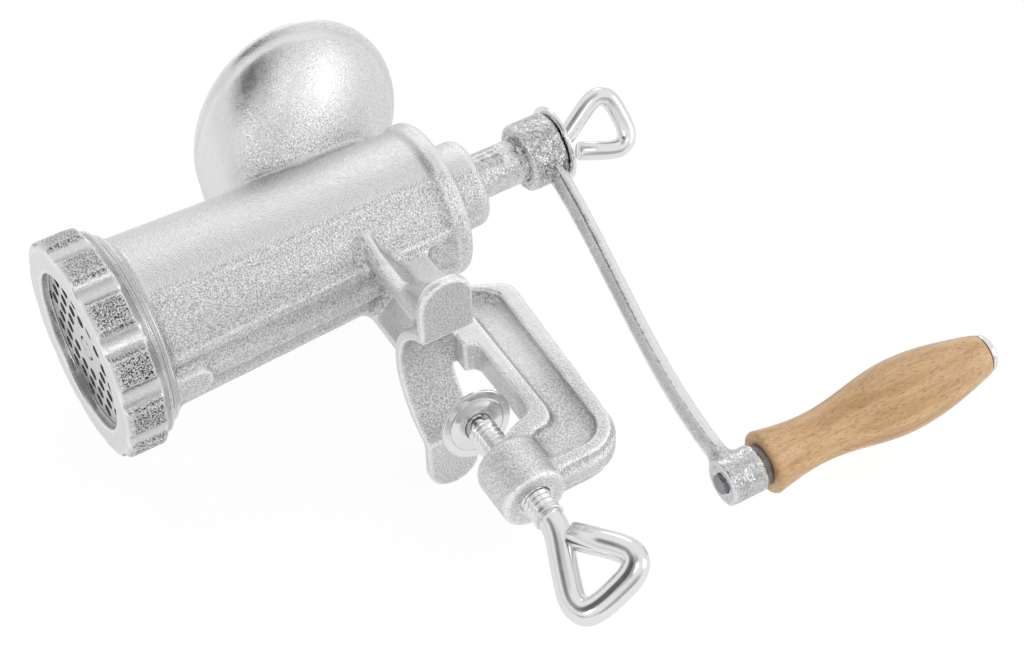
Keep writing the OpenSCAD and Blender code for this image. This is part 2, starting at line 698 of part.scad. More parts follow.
module crank() {
    color(iron) difference() {
        union() {
            turned([[0, hub_place], [hub_r - 1, hub_place], [hub_r, hub_place + 1],
                [hub_r, hub_end - 1], [hub_r - 1, hub_end], [0, hub_end]]);
            arm();
            on_crank(end_boss_place) translate([0, 0, crank_r]) rotate([-90, 0, 0])
                cylinder(r = end_boss_r, h = end_boss_len);
        }
        intersection() {
            on_axis(hub_place - past) cylinder(r = shaft_r + run_gap, h = hub_len + 2 * past);
            on_axis(hub_place - past) translate([-flat_half - run_gap, -hub_r, 0])
                cube([2 * (flat_half + run_gap), 2 * hub_r, hub_len + 2 * past]);
        }
        on_crank(end_boss_place - past) translate([0, 0, crank_r]) rotate([-90, 0, 0])
            cylinder(r = spindle_r + run_gap, h = end_boss_len + 2 * past);
    }
}

// Dished washer under the thumb screw
washer_t = 1.6;
washer_dish = 2.1;
module washer() {
    low = hub_end + 0.1;
    high = low + washer_dish;
    color(steel) turned([[thumb_thread_r + slide_gap, high], [washer_r - 3, low], [washer_r, low],
        [washer_r, low + washer_t], [washer_r - 3, low + washer_t],
        [thumb_thread_r + slide_gap, high + washer_t]]);
}

// Corner points of a bent wire, each corner drawn as a curve that leaves the straight part share away
function bent(path, share = 0.42, n = 4) = [path[0], for (i = [1:len(path) - 2])
    let (a = path[i] + share * (path[i - 1] - path[i]), b = path[i],
        c = path[i + 1] + (1 - share) * (path[i] - path[i + 1]))
    each [for (j = [0:n]) let (t = j / n) (1 - t) * (1 - t) * a + 2 * t * (1 - t) * b + t * t * c],
    path[len(path) - 1]];

// Round wire of radius r along points that lie in a plane with the given normal
module wire(path, normal, r, n = 16) {
    pts = bent(path);
    m = len(pts) - 1;
    loft([for (i = [0:m]) let (d = pts[min(i + 1, m)] - pts[max(i - 1, 0)], s = cross(normal, d / norm(d)))
        [for (k = [0:n - 1]) pts[i] + r * (cos(360 * k / n) * normal + sin(360 * k / n) * s)]]);
}

// Screw with an eye of bent wire, its corners given as shares of the eye's half width and length
module thumb_screw() {
    base = hub_end + 0.1 + washer_dish + washer_t;
    c = cos(thumb_turn);
    s = sin(thumb_turn);
    corners = [[0, 0], [0.1, 0.12], [0.82, 0.59], [0.91, 0.75], [0.69, 0.92], [-0.48, 1], [-0.93, 0.94],
        [-1.09, 0.75], [-0.59, 0.2]];
    color(steel) {
        on_axis(hub_end - thumb_thread_len)
            cylinder(r = thumb_thread_r, h = base + 0.6 - hub_end + thumb_thread_len);
        translate([0, -reach, axis_height]) wire([for (q = corners) let (w = q[0] * thumb_eye_half)
            [w * c, base + q[1] * thumb_eye_len, w * s]], [-s, 0, c], thumb_wire_r);
    }
}

module spindle() {
    far = grip_start + grip_len;
    color(steel) on_crank(end_boss_place - 1) translate([0, 0, crank_r]) rotate([-90, 0, 0])
        cylinder(r = spindle_r, h = far + 1.5 - end_boss_place + 1);
}

grip_start = end_boss_place + end_boss_len + collar_len + 0.3;

module on_grip() {
    on_crank(0) translate([0, 0, crank_r]) rotate([-90, 0, 0]) children();
}

module grip_collar() {
    start = end_boss_place + end_boss_len + 0.1;
    color("dimgray") on_grip() rotate_extrude() polygon([[spindle_r + run_gap, start],
        [grip_collar_r - 0.4, start], [grip_collar_r, start + 0.5], [grip_collar_r, start + collar_len],
        [spindle_r + run_gap, start + collar_len]]);
}

// Radius of the grip at a share of its length
function grip_profile(u) = u < 0.22
    ? grip_near_r + (grip_waist_r - grip_near_r) * sin(90 * u / 0.22)
    : u < 0.62
    ? grip_waist_r + (grip_swell_r - grip_waist_r) * (1 - cos(180 * (u - 0.22) / 0.4)) / 2
    : grip_swell_r + (grip_far_r - grip_swell_r) * (1 - cos(90 * (u - 0.62) / 0.38));

module grip() {
    n = 28;
    color(wood) on_grip() rotate_extrude() polygon(concat([[spindle_r + run_gap, grip_start]],
        [[grip_near_r - 1.4, grip_start]],
        [for (i = [0:n]) [grip_profile(i / n), grip_start + 1.2 + (grip_len - 2) * i / n]],
        [[grip_far_r - 0.8, grip_start + grip_len], [spindle_r + run_gap, grip_start + grip_len]]));
}

module grip_cap() {
    start = grip_start + grip_len + 0.3;
    color(steel) on_grip() rotate_extrude() polygon(concat([[spindle_r + run_gap, start]],
        [[grip_far_r - 0.6, start], [grip_far_r - 0.6, start + 0.8]],
        [for (i = [1:7]) [(grip_far_r - 0.6) * cos(90 * i / 7), start + 0.8 + 3.2 * sin(90 * i / 7)]],
        [[0, start + 1.5], [spindle_r + run_gap, start + 1.5]]));
}

// Height of the shoulder under the screw's tip
pad_seat = -pad_drop - 5;
// Heights over the shoulder of the tip's end, of the rivet and of the pad's middle
tip_len = 6;
rivet_place = 4.8;
pad_place = 2.7;
// Length of the thread under the nut boss
thread_out = 8;
module clamp_screw() {
    c = cos(clamp_turn);
    s = sin(clamp_turn);
    low = -clamp_low - thread_out;
    corners = [[0, -0.05], [-0.03, 0.16], [-0.57, 0.53], [-0.89, 0.79], [-0.79, 0.95], [-0.33, 1],
        [0.66, 0.99], [1.07, 0.92], [1.11, 0.77], [0.2, 0.3]];
    color(steel) {
        translate([0, 0, low]) cylinder(r = clamp_thread_r, h = pad_seat - low);
        translate([0, 0, pad_seat - past]) cylinder(r = tip_r, h = tip_len + past);
        wire([for (q = corners) let (w = q[0] * clamp_eye_half)
            [w * c, w * s, low - q[1] * clamp_eye_len]], [-s, c, 0], clamp_wire_r);
    }
}

// Head on the screw's tip that keeps the pad on
module pad_rivet() {
    rivet_h = 1.5;
    color(steel) translate([0, 0, pad_seat + rivet_place]) difference() {
        cylinder(r1 = tip_r + 2.4, r2 = tip_r + 1.2, h = rivet_h);
        translate([0, 0, -past]) cylinder(r = tip_r, h = rivet_h + 2 * past);
    }
}

module swivel_pad() {
    sheet = 1.2;
    rise = 2.2;
    hole = tip_r + 1;
    dish = hole + 1.8;
    color(steel) translate([0, 0, pad_seat + pad_place]) rotate([0, -pad_tilt, 0]) rotate_extrude()
        polygon([[hole, -sheet / 2], [dish, -sheet / 2], [pad_r - 3, rise - sheet], [pad_r, rise - sheet],
            [pad_r, rise], [pad_r - 3, rise], [dish, sheet / 2], [hole, sheet / 2]]);
}

barrel();
hopper();
leg();
jaw();
clamp_frame();
plate_key();
thrust_washer();
worm();
knife_stud();
knife();
plate();
ring_nut();
crank();
washer();
thumb_screw();
spindle();
grip_collar();
grip();
grip_cap();
clamp_screw();
pad_rivet();
swivel_pad();
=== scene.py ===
import bpy
import math
import numpy as np
from mathutils import Matrix


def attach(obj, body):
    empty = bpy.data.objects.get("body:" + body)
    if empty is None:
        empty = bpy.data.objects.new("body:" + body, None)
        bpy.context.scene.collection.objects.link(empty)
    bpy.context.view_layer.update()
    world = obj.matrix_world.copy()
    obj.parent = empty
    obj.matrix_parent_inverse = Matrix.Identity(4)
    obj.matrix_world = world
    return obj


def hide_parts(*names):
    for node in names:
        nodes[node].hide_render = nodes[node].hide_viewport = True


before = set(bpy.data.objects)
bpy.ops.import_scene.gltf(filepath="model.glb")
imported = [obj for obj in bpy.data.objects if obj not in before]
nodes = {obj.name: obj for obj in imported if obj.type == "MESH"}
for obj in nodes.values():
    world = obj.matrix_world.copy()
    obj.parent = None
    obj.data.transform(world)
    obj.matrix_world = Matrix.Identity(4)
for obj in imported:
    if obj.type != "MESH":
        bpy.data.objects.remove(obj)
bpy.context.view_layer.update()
mm = 0.001
print("frame loaded:", len(nodes), "nodes")


# camera: the place and axes that the photograph's round edges give, in the part's frame
cameraView = {
    "place": (698 * mm, -278 * mm, -529 * mm),
    "right": (-0.019, 0.857, -0.515),
    "up": (0.667, 0.395, 0.632),
    "focalLength": 97.73,
}


def squareAxes(right, up):
    # unit axes: right as given, up made square to it, and back as their cross product
    right = np.array(right, float) / np.linalg.norm(right)
    up = np.array(up, float) - right * np.dot(up, right)
    up = up / np.linalg.norm(up)
    return right, up, np.cross(right, up)


def placeByAxes(item, axes, place):
    # the item's own x, y and z axes lie along the three given axes
    turn = np.eye(4)
    turn[:3, 0], turn[:3, 1], turn[:3, 2] = axes
    turn[:3, 3] = place
    item.matrix_world = Matrix(turn.tolist())


def addCamera(view):
    data = bpy.data.cameras.new("photoCamera")
    data.lens = view["focalLength"]
    camera = bpy.data.objects.new("photoCamera", data)
    bpy.context.scene.collection.objects.link(camera)
    placeByAxes(camera, squareAxes(view["right"], view["up"]), view["place"])
    bpy.context.scene.camera = camera


addCamera(cameraView)
print("camera placed")


# studio: a pale tent, soft boxes, and a white floor under the lying grinder, whose upper side is +X
studio = {
    "tentTop": 1.07,
    "tentLow": 0.86,
    "tentRise": (-0.05, 0.35),
    "floorPlace": -53 * mm,
    "floorSize": 4.0,
    "floorGlow": 0.8,
    "floorLight": 1.1,
    "floorMirrored": 0.45,
    "softBoxes": [
        # name, place, size, power
        ("boxAbove", (0.5, 0.7, 1.1), (0.4, 0.4), 0.6),
        ("boxLeft", (0.7, -1.1, -0.5), (0.25, 0.25), 0.8),
        ("boxFront", (1.15, 0.1, -0.65), (0.5, 0.5), 0.8),
        ("boxRight", (0.35, 1.05, -0.70), (0.6, 0.6), 1.8),
    ],
    "darkCards": [
        # direction, cosines at which a card begins and is full, its darkness
        ((-0.09, 0.0, -1.0), 0.75, 0.95, 0.45),
        ((0.80, -0.57, 0.17), 0.85, 0.97, 0.85),
        ((0.965, -0.12, -0.20), 0.80, 0.98, 0.50),
        ((-0.34, -0.91, -0.24), 0.86, 0.96, 0.8),
    ],
}


def addNode(tree, kind, **values):
    # a node of that kind, with inputs set by name and other properties set as attributes
    node = tree.nodes.new(kind)
    for key, value in values.items():
        if key in node.inputs:
            node.inputs[key].default_value = value
        else:
            setattr(node, key, value)
    return node


def addRange(tree, source, low, high, toLow, toHigh, smooth=False):
    # maps the source from low..high to toLow..toHigh
    step = addNode(tree, "ShaderNodeMapRange", interpolation_type="SMOOTHSTEP" if smooth else "LINEAR")
    for name, value in (("From Min", low), ("From Max", high), ("To Min", toLow), ("To Max", toHigh)):
        step.inputs[name].default_value = value
    tree.links.new(source, step.inputs["Value"])
    return step.outputs["Result"]


def addTent(options):
    # white to the camera; to other rays the light grows smoothly from the low side to the upper side,
    # less the dark cards, each a soft-edged cone about its direction
    world = bpy.data.worlds.new("studioTent")
    bpy.context.scene.world = world
    world.use_nodes = True
    tree = world.node_tree
    tree.nodes.clear()
    link = tree.links.new
    path = addNode(tree, "ShaderNodeLightPath")
    where = addNode(tree, "ShaderNodeTexCoord")
    split = addNode(tree, "ShaderNodeSeparateXYZ")
    tent = addNode(tree, "ShaderNodeBackground")
    white = addNode(tree, "ShaderNodeBackground", Color=(1, 1, 1, 1), Strength=1.0)
    mix = addNode(tree, "ShaderNodeMixShader")
    out = addNode(tree, "ShaderNodeOutputWorld")
    link(where.outputs["Generated"], split.inputs["Vector"])
    low, high = options["tentRise"]
    light = addRange(tree, split.outputs["X"], low, high, options["tentLow"], options["tentTop"], True)
    for direction, begins, full, darkness in options["darkCards"]:
        facing = addNode(tree, "ShaderNodeVectorMath", operation="DOT_PRODUCT")
        facing.inputs[1].default_value = direction
        kept = addNode(tree, "ShaderNodeMath", operation="MULTIPLY")
        link(where.outputs["Generated"], facing.inputs[0])
        link(light, kept.inputs[0])
        link(addRange(tree, facing.outputs["Value"], begins, full, 1.0, 1.0 - darkness, True), kept.inputs[1])
        light = kept.outputs["Value"]
    link(light, tent.inputs["Strength"])
    link(path.outputs["Is Camera Ray"], mix.inputs["Fac"])
    link(tent.outputs["Background"], mix.inputs[1])
    link(white.outputs["Background"], mix.inputs[2])
    link(mix.outputs["Shader"], out.inputs["Surface"])


def addSoftBox(name, place, size, power):
    # a rectangular lamp that shines from its place at the grinder's middle
    data = bpy.data.lights.new(name, "AREA")
    data.shape = "RECTANGLE"
    data.size, data.size_y = size
    data.energy = power
    lamp = bpy.data.objects.new(name, data)
    bpy.context.scene.collection.objects.link(lamp)
    back = np.array(place, float) / np.linalg.norm(place)
    side = np.cross((0.0, 0.2, 1.0), back)
    side = side / np.linalg.norm(side)
    placeByAxes(lamp, (side, np.cross(back, side), back), place)


def addFloor(options):
    # a square sheet facing the grinder: plain paper to the light, white with a faint shadow to the camera,
    # whiter paper in reflections, and clear when seen from behind
    half = options["floorSize"] / 2
    x = options["floorPlace"]
    mesh = bpy.data.meshes.new("floor")
    mesh.from_pydata([(x, -half, -half), (x, half, -half), (x, half, half), (x, -half, half)], [], [(0, 1, 2, 3)])
    floor = bpy.data.objects.new("floor", mesh)
    bpy.context.scene.collection.objects.link(floor)
    material = bpy.data.materials.new("paleFloor")
    material.use_nodes = True
    tree = material.node_tree
    tree.nodes.clear()
    link = tree.links.new
    path = addNode(tree, "ShaderNodeLightPath")
    side = addNode(tree, "ShaderNodeNewGeometry")
    share = addNode(tree, "ShaderNodeMath", operation="MULTIPLY")
    mirrored = addNode(tree, "ShaderNodeMath", operation="MULTIPLY")
    either = addNode(tree, "ShaderNodeMath", operation="MAXIMUM")
    share.inputs[1].default_value = options["floorGlow"]
    mirrored.inputs[1].default_value = options["floorMirrored"]
    paper = addNode(tree, "ShaderNodeBsdfDiffuse", Color=(0.92, 0.92, 0.92, 1))
    glow = addNode(tree, "ShaderNodeEmission", Color=(1, 1, 1, 1), Strength=options["floorLight"])
    clear = addNode(tree, "ShaderNodeBsdfTransparent")
    lit = addNode(tree, "ShaderNodeMixShader")
    sided = addNode(tree, "ShaderNodeMixShader")
    out = addNode(tree, "ShaderNodeOutputMaterial")
    link(path.outputs["Is Camera Ray"], share.inputs[0])
    link(path.outputs["Is Glossy Ray"], mirrored.inputs[0])
    link(share.outputs["Value"], either.inputs[0])
    link(mirrored.outputs["Value"], either.inputs[1])
    link(either.outputs["Value"], lit.inputs["Fac"])
    link(paper.outputs["BSDF"], lit.inputs[1])
    link(glow.outputs["Emission"], lit.inputs[2])
    link(side.outputs["Backfacing"], sided.inputs["Fac"])
    link(lit.outputs["Shader"], sided.inputs[1])
    link(clear.outputs["BSDF"], sided.inputs[2])
    link(sided.outputs["Shader"], out.inputs["Surface"])
    mesh.materials.append(material)


addTent(studio)
for box in studio["softBoxes"]:
    addSoftBox(*box)
addFloor(studio)
bpy.context.scene.view_settings.view_transform = "Standard"
print("studio built")


# shapes

def addMesh(name, points, faces, body, *replaced):
    # a smooth-shaded piece that rides on a body and stands for the replaced nodes
    mesh = bpy.data.meshes.new(name)
    mesh.from_pydata(points, [], faces)
    mesh.polygons.foreach_set("use_smooth", np.ones(len(mesh.polygons), bool))
    piece = bpy.data.objects.new(name, mesh)
    bpy.context.scene.collection.objects.link(piece)
    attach(piece, body)
    if replaced:
        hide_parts(*replaced)
    return piece


def skinRings(rings, closedEnds=True):
    # points and faces of a skin over an array of rings [ring, place round it, xyz], its two ends closed by
    # fans to their middles, or its last ring joined to its first; the faces are turned outwards
    count, around = rings.shape[:2]
    index = np.arange(count * around).reshape(count, around)
    nextRound = np.roll(index, -1, axis=1)
    if closedEnds:
        low, high, lowNext, highNext = index[:-1], index[1:], nextRound[:-1], nextRound[1:]
    else:
        low, high = index, np.roll(index, -1, axis=0)
        lowNext, highNext = nextRound, np.roll(nextRound, -1, axis=0)
    quads = np.stack([low, lowNext, highNext, high], axis=-1).reshape(-1, 4)
    points = rings.reshape(-1, 3)
    faces = quads.tolist()
    triangles = np.concatenate([quads[:, [0, 1, 2]], quads[:, [0, 2, 3]]])
    if closedEnds:
        ends = np.stack([rings[0].mean(axis=0), rings[-1].mean(axis=0)])
        first = np.stack([np.full(around, len(points)), nextRound[0], index[0]], axis=-1)
        last = np.stack([np.full(around, len(points) + 1), index[-1], nextRound[-1]], axis=-1)
        points = np.concatenate([points, ends])
        faces += first.tolist() + last.tolist()
        triangles = np.concatenate([triangles, first, last])
    a, b, c = (points[triangles[:, k]] for k in range(3))
    if np.einsum("ij,ij->i", a, np.cross(b, c)).sum() < 0:
        faces = [face[::-1] for face in faces]
    return points.tolist(), faces


def axisFrame(centre, along, across):
    # origin and three unit axes of a turned piece
    along = np.array(along, float) / np.linalg.norm(along)
    across = np.array(across, float) - along * np.dot(across, along)
    across = across / np.linalg.norm(across)
    return np.array(centre, float), along, across, np.cross(along, across)


def turnProfile(profile, axes, around=96):
    # rings of the profile's [radius, place] points about an axis, all in millimetres
    centre, along, across, third = axes
    profile = np.array(profile, float)
    angle = np.linspace(0, 2 * np.pi, around, endpoint=False)
    circle = np.cos(angle)[:, None] * across + np.sin(angle)[:, None] * third
    return (centre + profile[:, 1, None, None] * along + profile[:, 0, None, None] * circle) * mm


def roundedProfile(profile, radius=0.25, steps=3):
    # each corner of a profile is cut by a curve that starts and ends at most radius away from it
    points = np.array(profile, float)
    out = [points[0]]
    for before, corner, after in zip(points[:-2], points[1:-1], points[2:]):
        reach = min(radius, np.linalg.norm(before - corner) / 2, np.linalg.norm(after - corner) / 2)
        start = corner + (before - corner) * reach / np.linalg.norm(before - corner)
        stop = corner + (after - corner) * reach / np.linalg.norm(after - corner)
        t = np.linspace(0, 1, steps + 1)[:, None]
        out.extend((1 - t) ** 2 * start + 2 * t * (1 - t) * corner + t ** 2 * stop)
    out.append(points[-1])
    return np.array(out)


def addVoxels(piece, size):
    remesh = piece.modifiers.new("voxels", "REMESH")
    remesh.mode = "VOXEL"
    remesh.voxel_size = size * 1


def addGrowth(piece, distance):
    # moves every point along its normal
    growth = piece.modifiers.new("growth", "DISPLACE")
    growth.mid_level = 0
    growth.strength = distance


def bakeModifiers(piece):
    piece.data = bpy.data.meshes.new_from_object(piece.evaluated_get(bpy.context.evaluated_depsgraph_get()))
    piece.modifiers.clear()


def castPiece(name, body, voxel, fillet, passes, limit, sources, skins=None):
    # one casting from several nodes: their union is rebuilt in voxels, grown and shrunk again by the fillet,
    # which fills its inner corners, softened by smoothing passes, and thinned to the limit of triangles; a
    # node named in skins takes its finer skin there
    skins = skins or {}
    points, faces, start = [], [], 0
    for source in sources:
        if source in skins:
            skinPoints, skinFaces = skins[source]
            triangles = np.array(skinFaces)
            points.append(np.array(skinPoints))
            faces.append(np.concatenate([triangles[:, [0, 1, 2]], triangles[:, [0, 2, 3]]]) + start)
            start += len(skinPoints)
            continue
        mesh = nodes[source].data
        place = np.empty(len(mesh.vertices) * 3)
        mesh.vertices.foreach_get("co", place)
        place = place.reshape(-1, 3)
        corners = np.empty(len(mesh.loops), int)
        mesh.loops.foreach_get("vertex_index", corners)
        # equal points are merged, because a node's mesh is loose triangles
        keys, first, merged = np.unique(np.round(place / 1e-6).astype(np.int64), axis=0,
                                        return_index=True, return_inverse=True)
        triangles = merged.ravel()[corners].reshape(-1, 3)
        apart = (triangles[:, 0] != triangles[:, 1]) & (triangles[:, 1] != triangles[:, 2]) \
            & (triangles[:, 0] != triangles[:, 2])
        points.append(place[first])
        faces.append(triangles[apart] + start)
        start += len(first)
    piece = addMesh(name, np.concatenate(points).tolist(), np.concatenate(faces).tolist(), body, *sources)
    addVoxels(piece, voxel)
    if fillet:
        addGrowth(piece, fillet)
        addVoxels(piece, voxel)
        addGrowth(piece, -fillet)
        addVoxels(piece, voxel)
    smooth = piece.modifiers.new("softCorners", "SMOOTH")
    smooth.factor = 0.5
    smooth.iterations = passes
    bakeModifiers(piece)
    triangles = sum(len(face.vertices) - 2 for face in piece.data.polygons)
    if triangles > limit:
        thin = piece.modifiers.new("thin", "DECIMATE")
        thin.ratio = limit / triangles
        bakeModifiers(piece)
    piece.data.polygons.foreach_set("use_smooth", np.ones(len(piece.data.polygons), bool))
    print(name, len(piece.data.polygons), "faces")
    return piece


def joinSkins(*skins):
    # several skins as one list of points and one of faces
    points, faces = [], []
    for skinPoints, skinFaces in skins:
        start = len(points)
        points += skinPoints
        faces += [[k + start for k in face] for face in skinFaces]
    return points, faces


def turnThread(axes, start, stop, radius, depth, pitch, around=48, rows=12):
    # a threaded rod: its radius falls from radius by depth times a wave that climbs one pitch a turn, and
    # the wave fades over one pitch at both ends
    centre, along, across, third = axes
    place = np.linspace(start, stop, int(abs(stop - start) / pitch * rows) + 1)[:, None]
    angle = np.linspace(0, 2 * np.pi, around, endpoint=False)[None, :]
    wave = 0.5 - 0.5 * np.cos(2 * np.pi * place / pitch - angle)
    fade = np.clip(np.minimum(abs(place - start), abs(place - stop)) / pitch, 0, 1)
    size = radius - depth * wave ** 1.3 * fade
    rings = centre + place[..., None] * along \
        + size[..., None] * (np.cos(angle)[..., None] * across + np.sin(angle)[..., None] * third)
    ends = [centre + place[k] * along + (rings[k] - centre - place[k] * along) * 0.9 for k in (0, -1)]
    return skinRings(np.concatenate([ends[0][None], rings, ends[1][None]]) * mm)


def bendPath(corners, share=0.42, steps=14):
    # straight parts joined by quadratic curves that begin share of the way along each part from its corner
    corners = np.array(corners, float)
    t = np.linspace(0, 1, steps + 1)[:, None]
    path = [corners[:1]]
    for before, corner, after in zip(corners[:-2], corners[1:-1], corners[2:]):
        start, stop = corner + share * (before - corner), corner + share * (after - corner)
        path.append((1 - t) ** 2 * start + 2 * t * (1 - t) * corner + t ** 2 * stop)
    path.append(corners[-1:])
    return np.concatenate(path)


def sweepWire(path, normal, radius, around=32):
    # a round wire along a path in the plane with that normal, its end faces slightly drawn in
    normal = np.array(normal, float)
    run = np.gradient(path, axis=0)
    run = run / np.linalg.norm(run, axis=1)[:, None]
    side = np.cross(normal, run)
    size = np.full(len(path), radius)
    path = np.concatenate([path[:1], path, path[-1:] + run[-1:] * 0.35])
    side = np.concatenate([side[:1], side, side[-1:]])
    size = np.concatenate([size[:1] * 0.93, size, size[-1:] * 0.9])
    angle = np.linspace(0, 2 * np.pi, around, endpoint=False)
    rings = path[:, None] + size[:, None, None] * (np.cos(angle)[None, :, None] * normal
                                                   + np.sin(angle)[None, :, None] * side[:, None])
    return skinRings(rings * mm)


# places along the barrel's axis are counted from the ring nut's face, in millimetres
axisHeight, reach = 79.4, 97.7
hubEnd = 172.2 + 14.4
barrelAxis = axisFrame((0, -reach, axisHeight), (0, 1, 0), (1, 0, 0))

hopperShape = {
    "rimAcross": 50.4, "rimAlong": 39.3, "rimHeight": 56.8, "rimPlace": 112.8, "rimSlope": 4.6,
    "neckAcross": 22.0, "neckAlong": 20.0, "neckHeight": 22.0, "neckPlace": 96.3,
    "wall": 3.2, "rimWall": 4.4, "curve": 1.8, "lip": 0.7, "barrelRadius": 27.4,
}


def makeHopperSkin(shape, around=160):
    # oval rings from rim to neck, whose half lengths shrink by the part to the power curve; the skin runs up
    # the outside, over a rounded lip and down the inside, and both ends stop inside the barrel's wall
    turn = np.linspace(0, 2 * np.pi, around, endpoint=False)

    def ring(part, inset):
        share = max(part, 0) ** shape["curve"]
        across = shape["rimAcross"] + (shape["neckAcross"] - shape["rimAcross"]) * share - inset
        along = shape["rimAlong"] + (shape["neckAlong"] - shape["rimAlong"]) * share - inset
        lean = math.radians(shape["rimSlope"]) * (1 - part)
        place = shape["rimPlace"] + (shape["neckPlace"] - shape["rimPlace"]) * part - reach
        height = axisHeight + shape["rimHeight"] + (shape["neckHeight"] - shape["rimHeight"]) * part
        side = along * np.sin(turn)
        return np.stack([across * np.cos(turn), place + side * math.cos(lean), height - side * math.sin(lean)], -1)

    def end(inset):
        last = ring(1, inset)
        last[:, 2] = axisHeight + np.sqrt(shape["barrelRadius"] ** 2 - last[:, 0] ** 2)
        return last

    def hollow(part):
        return shape["lip"] * math.sin(math.pi * min(max((part - 0.03) / 0.2, 0), 1)) ** 2

    parts = np.linspace(1, 0.04, 40)
    corner = np.linspace(0, np.pi / 2, 5)
    outside = [end(0)] + [ring(p, hollow(p)) for p in parts] \
        + [ring(0.04 * (1 - math.sin(c)), 1.2 * (1 - math.cos(c))) for c in corner]
    inside = [ring(0.04 * (1 - math.cos(c)), shape["rimWall"] - 1.2 * (1 - math.sin(c))) for c in corner] \
        + [ring(p, max(shape["wall"], shape["rimWall"] - 8 * p)) for p in parts[::-1]] + [end(shape["wall"])]
    return skinRings(np.array(outside + inside) * mm, False)


casting = castPiece("grinderBody", "casting", 0.0006, 0.002, 2, 190000,
                    ("barrel", "leg", "jaw", "clamp_frame", "hopper"), {"hopper": makeHopperSkin(hopperShape)})
nut = castPiece("lobedNut", "nut", 0.0005, 0, 2, 120000, ("ring_nut",))
crank = castPiece("crankArm", "drive", 0.0005, 0.0015, 2, 120000, ("crank",))

clampScrewShape = {
    "threadRadius": 5.2, "wireRadius": 4.5, "tipRadius": 3.2, "threadDepth": 0.75, "pitch": 2.0,
    "low": -63.6, "shoulder": -22.0, "tip": -16.0, "eyeTurn": 60.0, "eyeHalf": 12.2, "eyeLength": 36.8,
    # the eye's corners, as shares of its half width and its length
    "eye": [(0, -0.05), (-0.03, 0.16), (-0.57, 0.53), (-0.89, 0.79), (-0.79, 0.95), (-0.33, 1),
            (0.66, 0.99), (1.07, 0.92), (1.11, 0.77), (0.2, 0.3)],
}


def makeClampScrew(shape):
    axes = axisFrame((0, 0, 0), (0, 0, 1), (1, 0, 0))
    rod = turnThread(axes, shape["low"], shape["shoulder"], shape["threadRadius"], shape["threadDepth"], shape["pitch"])
    tip = skinRings(turnProfile([(shape["tipRadius"], shape["shoulder"] - 1), (shape["tipRadius"], shape["tip"] - 0.4),
                                 (shape["tipRadius"] - 0.4, shape["tip"])], axes, 48))
    turn = math.radians(shape["eyeTurn"])
    across = np.array([math.cos(turn), math.sin(turn), 0])
    corners = [across * w * shape["eyeHalf"] + np.array([0, 0, shape["low"] - d * shape["eyeLength"]])
               for w, d in shape["eye"]]
    eye = sweepWire(bendPath(corners), (-math.sin(turn), math.cos(turn), 0), shape["wireRadius"])
    return addMesh("clampSpindle", *joinSkins(rod, tip, eye), "clamp_spindle", "clamp_screw")


thumbScrewShape = {
    "threadRadius": 4.0, "wireRadius": 3.4, "threadDepth": 0.5, "pitch": 1.25,
    "start": hubEnd - 18, "base": hubEnd + 3.8, "eyeTurn": 40.0, "eyeHalf": 10.5, "eyeLength": 25.5,
    "eye": [(0, 0), (0.1, 0.12), (0.82, 0.59), (0.91, 0.75), (0.69, 0.92), (-0.48, 1), (-0.93, 0.94),
            (-1.09, 0.75), (-0.59, 0.2)],
}


def makeThumbScrew(shape):
    rod = turnThread(barrelAxis, shape["start"], shape["base"] + 0.6, shape["threadRadius"],
                     shape["threadDepth"], shape["pitch"])
    turn = math.radians(shape["eyeTurn"])
    across = np.array([math.cos(turn), 0, math.sin(turn)])
    origin = np.array([0, -reach, axisHeight])
    corners = [origin + across * w * shape["eyeHalf"] + np.array([0, shape["base"] + d * shape["eyeLength"], 0])
               for w, d in shape["eye"]]
    eye = sweepWire(bendPath(corners), (-math.sin(turn), 0, math.cos(turn)), shape["wireRadius"])
    return addMesh("thumbScrew", *joinSkins(rod, eye), "wing", "thumb_screw")


gripShape = {
    "angle": -9.7, "swing": 146.8, "start": 163.3 + 13.8 + 2.2 + 0.3, "length": 91.0,
    "near": 11.3, "waist": 9.0, "swell": 13.1, "far": 7.6, "bore": 3.56,
}


def gripAxis(shape):
    turn = math.radians(shape["angle"])
    return axisFrame((shape["swing"] * math.sin(turn), -reach, axisHeight - shape["swing"] * math.cos(turn)),
                     (0, 1, 0), (1, 0, 0))


def makeGrip(shape):
    # radius along the length: a quarter sine down to the waist, a half cosine up to the swell, and a
    # quarter cosine down to the far end
    u = np.linspace(0, 1, 72)
    near, waist, swell, far = (shape[k] for k in ("near", "waist", "swell", "far"))
    radius = np.where(u < 0.22, near + (waist - near) * np.sin(np.pi / 2 * np.clip(u / 0.22, 0, 1)),
                      np.where(u < 0.62, waist + (swell - waist) * (1 - np.cos(np.pi * (u - 0.22) / 0.4)) / 2,
                               swell + (far - swell) * (1 - np.cos(np.pi / 2 * (u - 0.62) / 0.38))))
    side = np.stack([radius, shape["start"] + 1.2 + (shape["length"] - 2) * u], axis=-1)
    start, end = shape["start"], shape["start"] + shape["length"]
    nearEdge = [(near - 1.4, start), (near - 0.7, start + 0.15), (near - 0.2, start + 0.55)]
    farEdge = [(far - 0.25, end - 0.35), (far - 0.8, end)]
    outline = [(shape["bore"], start)] + nearEdge + side.tolist() + farEdge + [(shape["bore"], end)]
    return addMesh("woodenGrip", *skinRings(turnProfile(outline, gripAxis(shape), 96), False), "handle", "grip")


padShape = {"tilt": -12.0, "height": -22 + 2.7, "hole": 4.2, "radius": 12.8, "sheet": 1.2, "rise": 2.2}


